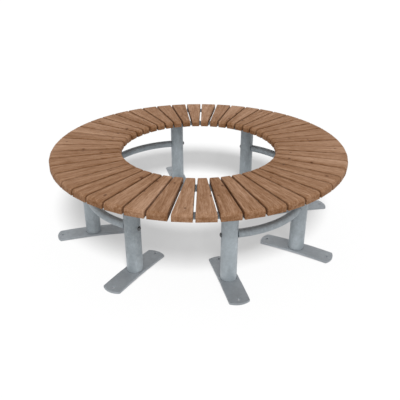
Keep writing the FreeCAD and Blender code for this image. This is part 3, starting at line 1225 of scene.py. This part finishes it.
@dataclass
class Brace:
    """The bent brace tube of one quarter and the two bolts that hold it."""

    radius: float = 0.020
    bend_radius: float = 0.450
    height: float = 0.247
    edge: float = 0.0012
    around: int = 40
    stations: int = 49
    tone: float = -0.06
    bolt_radius: float = 0.006
    bolt_chamfer: float = 0.001
    head_radius: float = 0.011
    head_height: float = 0.0075
    rim_share: float = 0.35
    rim_slope: float = 0.6
    rim_taper: float = 0.985
    dome_steps: int = 9
    crown_share: float = 0.06
    bolt_segments: int = 32
    thread_depth: float = 0.019

    @property
    def half_turn(self) -> float:
        """Half the angle of the bend, which meets each leg squarely on the line through the leg's axis.

        Returns:
            The angle, in radians.
        """
        half_span = SIZES.leg_circle * math.sin(SIZES.leg_angle(Side.LEFT) - QUARTER_TURN / 2)
        reach = math.hypot(self.bend_radius, SIZES.leg_radius)
        return math.asin(half_span / reach) - math.atan2(SIZES.leg_radius, self.bend_radius)

    def bolt_line(self, side: Side) -> tuple[Array, Array]:
        """The point where a bolt crosses the axis of its leg, and the way it points into the brace."""
        heading = QUARTER_TURN / 2 - side.value * (math.pi / 2 - self.half_turn)
        return polar(SIZES.leg_circle, SIZES.leg_angle(side), self.height), polar(1.0, heading)

    def tube(self) -> Skin:
        """The bent tube of the first quarter.

        A circle is carried round the bend: its centre is the bend's centre plus the bend radius times the
        unit vector at each angle.

        Returns:
            Its skin.
        """
        centre, direction = self.bolt_line(Side.RIGHT)
        middle = QUARTER_TURN / 2
        mouth = centre + direction * SIZES.leg_radius
        depth = mouth @ polar(1.0, middle) - self.bend_radius * math.cos(self.half_turn)
        bend_centre = polar(depth, middle, self.height)

        def outline(_along: float, share: float) -> Array:
            """A circle, a little smaller where the end turns over."""
            return circle(whole_round(self.around), self.radius - self.edge * share)

        def place(along: float, shape: Array) -> Array:
            """Stands a circle on the bend, at this share of the way round it."""
            angle = middle + self.half_turn * (2 * along - 1)
            return bend_centre + (self.bend_radius + shape[:, :1]) * polar(1.0, angle) + shape[:, 1:] * UP

        rounding = self.edge / (2 * self.half_turn * self.bend_radius)
        return swept((0.0, 1.0), np.linspace(0.0, 1.0, self.stations)[1:-1], rounding, 3, outline, place)

    def bolt(self, side: Side) -> Skin:
        """A bolt with a low round head, from its crown to its tip.

        The head is an arc of a circle through the rim and the crown, spun about the bolt's line.

        Args:
            side: which leg it passes through.

        Returns:
            Its skin.
        """
        centre, direction = self.bolt_line(side)
        rim, head, shank = self.head_height * self.rim_share, self.head_radius, self.bolt_radius
        rise = self.head_height - rim
        ball = (head**2 + rise**2) / (2 * rise)
        reach = math.asin(head / ball)
        sweep = np.linspace(reach * self.crown_share, reach, self.dome_steps)
        dome = np.column_stack([ball * np.sin(sweep), -(rim + rise) + ball * (1 - np.cos(sweep))])
        tip = 2 * SIZES.leg_radius + self.thread_depth
        rest = [(head, -rim * self.rim_slope), (head * self.rim_taper, 0.0), (shank, 0.0)]
        rest += [(shank, tip - self.bolt_chamfer), (shank - self.bolt_chamfer, tip)]
        start = centre - direction * SIZES.leg_radius
        return revolved(np.vstack([dome, rest]), start, direction, self.bolt_segments)

    def build(self, shop: Workshop) -> None:
        """Makes the brace of one quarter and its bolts.

        Args:
            shop: where pieces are made.
        """
        tube = self.tube()
        tone = np.full(len(tube.points), self.tone)
        shop.piece(f"brace_tube_{shop.letter}", tube, Slot.TUBE, "brace_tube", tone=tone)
        for side in Side:
            shop.piece(f"brace_bolt_{shop.letter}_{side.word}", self.bolt(side), Slot.BOLT, "brace_bolts")


@dataclass(frozen=True)
class Fastener:
    """A kind of fastener that hangs head down. Its profile is in shares of its radius and height."""

    radius: float
    height: float
    level: float
    sides: int
    shank: float
    profile: tuple[tuple[float, float], ...]
    depth: float = 0.004

    def skin(self, distance: float, angle: float) -> Skin:
        """One such fastener, with its profile spun about a line straight down.

        Args:
            distance: how far it is from the centre of the bench.
            angle: where it is in its quarter.

        Returns:
            Its skin.
        """
        shape = np.array([*self.profile, (self.shank, -self.depth / self.height)])
        profile = shape * (self.radius, self.height)
        return revolved(profile, np.array([distance, 0.0, self.level]), -UP, self.sides).turned(angle)


@dataclass
class HiddenFasteners:
    """The screws that hold the slats to the ring arcs and the bolts that hold the arcs to the bearers."""

    screw: Fastener = Fastener(
        radius=0.0055,
        height=0.003,
        level=SIZES.slat_bottom,
        sides=12,
        shank=0.5,
        profile=((0.45, 1.0), (0.85, 0.8), (1.0, 0.3), (1.0, 0.0)),
    )
    bolt: Fastener = Fastener(
        radius=0.0085,
        height=0.0064,
        level=SIZES.leg_top,
        sides=6,
        shank=0.6,
        profile=((0.88, 1.0), (1.0, 0.86), (1.0, 0.0)),
    )

    def build(self, shop: Workshop) -> None:
        """Makes the fasteners of one quarter, as two pieces.

        Args:
            shop: where pieces are made.
        """
        slat_angles = [(index + 0.5) * SIZES.slat_pitch for index in range(SIZES.slats_per_quarter)]
        leg_angles = [SIZES.leg_angle(side) for side in Side]
        for name, fastener, angles, slot in (
            ("slat_screws", self.screw, slat_angles, Slot.BOLT),
            ("ring_bolts", self.bolt, leg_angles, Slot.FLAT_BAR),
        ):
            rings = (SIZES.inner_ring, SIZES.outer_ring)
            skins = [fastener.skin(sum(ring) / 2, angle) for angle in angles for ring in rings]
            shop.piece(f"{name}_{shop.letter}", Skin.joined(skins), slot)


@dataclass(frozen=True)
class Studio:
    """A plain pale floor, an even surround and broad, distant lamps above the viewer's side.

    The surround lights the bench almost alone, which keeps it evenly lit all round. A weak lamp gives it a
    little relief. A stronger one from the same place only reaches the floor and draws the shadow there.
    """

    camera_turn: float = math.radians(8.839)
    camera_distance: float = 2.4713
    camera_height: float = 1.3954
    camera_pitch: float = 0.47384
    camera_yaw: float = 0.00311
    lens: float = 45.44
    sensor: float = 36.0
    floor_size: float = 160.0
    floor_colour: float = 0.10
    floor_glow: float = 0.22
    floor_white: float = 1.015
    shadow_depth: float = 0.44
    surround: float = 0.82
    lamp_tilt: float = math.radians(39.5)
    lamp_side: float = math.radians(7.2)
    lamp_spread: float = math.radians(18.5)
    lamp_light: float = 0.15

    def camera(self) -> None:
        """Puts the camera where the photograph was taken from."""
        data = bpy.data.cameras.new("camera")
        data.lens = self.lens
        data.sensor_width = self.sensor
        camera = placed("camera", data)
        camera.location = polar(self.camera_distance, self.camera_turn - math.pi / 2, self.camera_height)
        camera.rotation_euler = (math.pi / 2 - self.camera_pitch, 0.0, self.camera_turn - self.camera_yaw)
        bpy.context.scene.camera = camera

    def seen_or_not(self, shader: Shader, seen: float, otherwise: float) -> Socket:
        """A number where the eye, a reflection or a view through glass meets the surface, else another.

        Args:
            shader: the helper for the tree.
            seen, otherwise: the two numbers.

        Returns:
            The number.
        """
        path = shader.node("LightPath").outputs
        mask = shader.math("MAXIMUM", path["Is Camera Ray"], path["Is Glossy Ray"])
        mask = shader.math("MAXIMUM", mask, path["Is Transmission Ray"])
        return shader.added(otherwise, mask, seen - otherwise)

    def floor(self) -> bpy.types.Object:
        """A wide pale floor that keeps the bench's shadow and looks white where nothing shades it.

        It is clear from below, so that the underside of the bench can be looked at.

        Returns:
            The floor.
        """
        mesh = bpy.data.meshes.new("floor")
        corners = np.array([(-1, -1, 0), (1, -1, 0), (1, 1, 0), (-1, 1, 0)]) * self.floor_size / 2
        mesh.from_pydata(corners, [], [[0, 1, 2, 3]])
        floor = placed("floor", mesh)
        material, shader, surface = new_material("floor")
        shade = self.floor_colour
        lift = self.floor_white - self.shadow_depth - shade * (self.lamp_light + self.surround)
        for name, value in (
            ("Base Color", (shade, shade, shade, 1.0)),
            ("Roughness", 1.0),
            ("Specular IOR Level", 0.0),
            ("Emission Color", WHITE),
            ("Emission Strength", self.seen_or_not(shader, lift, self.floor_glow)),
        ):
            shader.feed(surface.inputs[name], value)
        below = shader.node("NewGeometry").outputs["Backfacing"]
        clear = shader.node("BsdfTransparent").outputs["BSDF"]
        both = shader.node("MixShader", None, below, surface.outputs["BSDF"], clear)
        shader.feed(material.node_tree.nodes["Material Output"].inputs["Surface"], both.outputs["Shader"])
        mesh.materials.append(material)
        return floor

    def world(self) -> None:
        """An even white surround, which looks white and lights the bench a little less."""
        world = bpy.data.worlds.new("surround")
        world.use_nodes = True
        bpy.context.scene.world = world
        background = world.node_tree.nodes["Background"].inputs
        background["Color"].default_value = WHITE
        shader = Shader(world.node_tree)
        shader.feed(background["Strength"], self.seen_or_not(shader, 1.0, self.surround))

    def lamp(self, name: str, light: float) -> bpy.types.Object:
        """A broad, distant lamp that leans from overhead towards the viewer.

        Args:
            name: its name.
            light: the light that it gives to level ground.

        Returns:
            The lamp.
        """
        data = bpy.data.lights.new(name, "SUN")
        data.energy = light * math.pi / math.cos(self.lamp_tilt)
        data.angle = self.lamp_spread
        lamp = placed(name, data)
        lamp.rotation_euler = (self.lamp_tilt, 0.0, self.camera_turn + self.lamp_side)
        return lamp

    def build(self) -> None:
        """Sets up the whole stage."""
        bpy.context.scene.view_settings.view_transform = "Standard"
        self.camera()
        self.world()
        self.lamp("soft_lamp", self.lamp_light)
        ground = bpy.data.collections.new("ground")
        ground.objects.link(self.floor())
        shadow_lamp = self.lamp("shadow_lamp", self.shadow_depth / self.floor_colour)
        shadow_lamp.light_linking.receiver_collection = ground


def main() -> None:
    """Builds the bench and its stage."""
    logging.basicConfig(level=logging.INFO, format="%(message)s")
    Studio().build()
    shop = Workshop(all_finishes())
    assemblies = (Slats(), RingArcs(), Legs(), Brace(), HiddenFasteners())
    for quarter in range(len(QUARTERS)):
        shop.quarter = quarter
        for assembly in assemblies:
            assembly.build(shop)
    LOG.info("%d pieces", shop.made)


if __name__ == "__main__":
    main()
